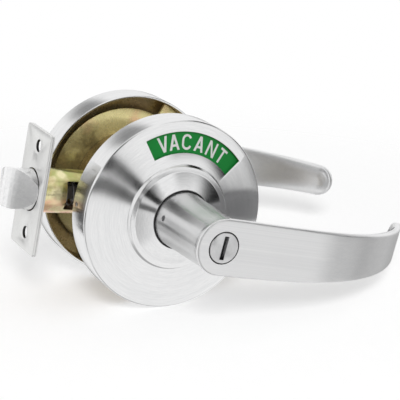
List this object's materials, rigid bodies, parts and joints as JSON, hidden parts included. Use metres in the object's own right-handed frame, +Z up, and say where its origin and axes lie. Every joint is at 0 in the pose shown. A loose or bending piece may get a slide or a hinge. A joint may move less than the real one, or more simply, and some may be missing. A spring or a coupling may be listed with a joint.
{
  "type": "privacy lever lock",
  "caption": "Bored privacy lever lock for a toilet door: round roses, return levers, a spring latch and a window that shows whether the room is vacant.",
  "frame": {"origin": "where the lock's axis crosses the latch's axis, in the middle of the door's thickness", "axes": "+Y along the lock's axis to the inside of the door, +X along the levers away from the latch, +Z up"},
  "size_m": [0.2016, 0.1683, 0.09],
  "materials": {
    "satin_steel": "satin, finely brushed",
    "yellow_zinc": "yellow zinc plating with a faint rainbow sheen",
    "inner_steel": "dull, as made",
    "spring_steel": "dark drawn wire",
    "black_nylon": "moulded",
    "green_paint": "semi-gloss",
    "red_paint": "semi-gloss"
  },
  "bodies": {
    "lock_body": {"outside_rose": "satin_steel", "inside_rose": "satin_steel", "outside_cage": "yellow_zinc", "inside_cage": "yellow_zinc", "outside_bush": "black_nylon", "inside_bush": "black_nylon", "chassis_shell": "yellow_zinc", "outside_hub": "yellow_zinc", "inside_hub": "yellow_zinc", "through_bolts": "inner_steel", "retractor_guide": "yellow_zinc", "latch_tube": "yellow_zinc", "latch_end_cap": "yellow_zinc", "face_plate": "satin_steel", "backing_plate": "satin_steel", "latch_spring": "spring_steel", "retractor_spring": "spring_steel", "outside_return_spring": "spring_steel", "inside_return_spring": "spring_steel"},
    "outside_lever": {"outside_lever": "satin_steel", "outside_spindle": "inner_steel", "outside_driver": "inner_steel", "outside_catch": "inner_steel"},
    "inside_lever": {"inside_lever": "satin_steel", "inside_spindle": "inner_steel", "inside_driver": "inner_steel", "inside_catch": "inner_steel"},
    "retractor": {"retractor": "inner_steel"},
    "latch_bolt": {"latch_bolt": "satin_steel", "latch_tail": "inner_steel"},
    "lock_bar": {"coin_plug": "satin_steel", "lock_bar": "inner_steel", "indicator_yoke": "inner_steel", "indicator_ring": "inner_steel", "vacant_plate": "green_paint", "occupied_plate": "red_paint", "turn_button": "satin_steel"}
  },
  "joints": [
    {"name": "outside_lever_turn", "type": "hinge", "parent": "lock_body", "child": "outside_lever", "pos_m": [0, 0, 0], "axis": [0, 1, 0], "range_deg": [0, 50], "stiffness_Nm_per_rad": 1, "springref_deg": -20.05, "deforming": ["outside_return_spring"]},
    {"name": "inside_lever_turn", "type": "hinge", "parent": "lock_body", "child": "inside_lever", "pos_m": [0, 0, 0], "axis": [0, 1, 0], "range_deg": [0, 50], "stiffness_Nm_per_rad": 1, "springref_deg": -20.05, "deforming": ["inside_return_spring"]},
    {"name": "retractor_slide", "type": "slide", "parent": "lock_body", "child": "retractor", "axis": [1, 0, 0], "range_m": [0, 0.0127], "stiffness_N_per_m": 150, "springref_m": -0.006, "deforming": ["retractor_spring"]},
    {"name": "latch_bolt_slide", "type": "slide", "parent": "lock_body", "child": "latch_bolt", "axis": [1, 0, 0], "range_m": [0, 0.0127], "stiffness_N_per_m": 150, "springref_m": -0.006, "deforming": ["latch_spring"]},
    {"name": "lock_turn", "type": "hinge", "parent": "lock_body", "child": "lock_bar", "pos_m": [0, 0, 0], "axis": [0, -1, 0], "range_deg": [0, 90]}
  ],
  "couplings": [
    {"joint": "inside_lever_turn", "follows": "outside_lever_turn", "ratio": 1},
    {"joint": "retractor_slide", "follows": "outside_lever_turn", "m_per_rad": 0.01455},
    {"joint": "latch_bolt_slide", "follows": "outside_lever_turn", "m_per_rad": 0.01455}
  ]
}
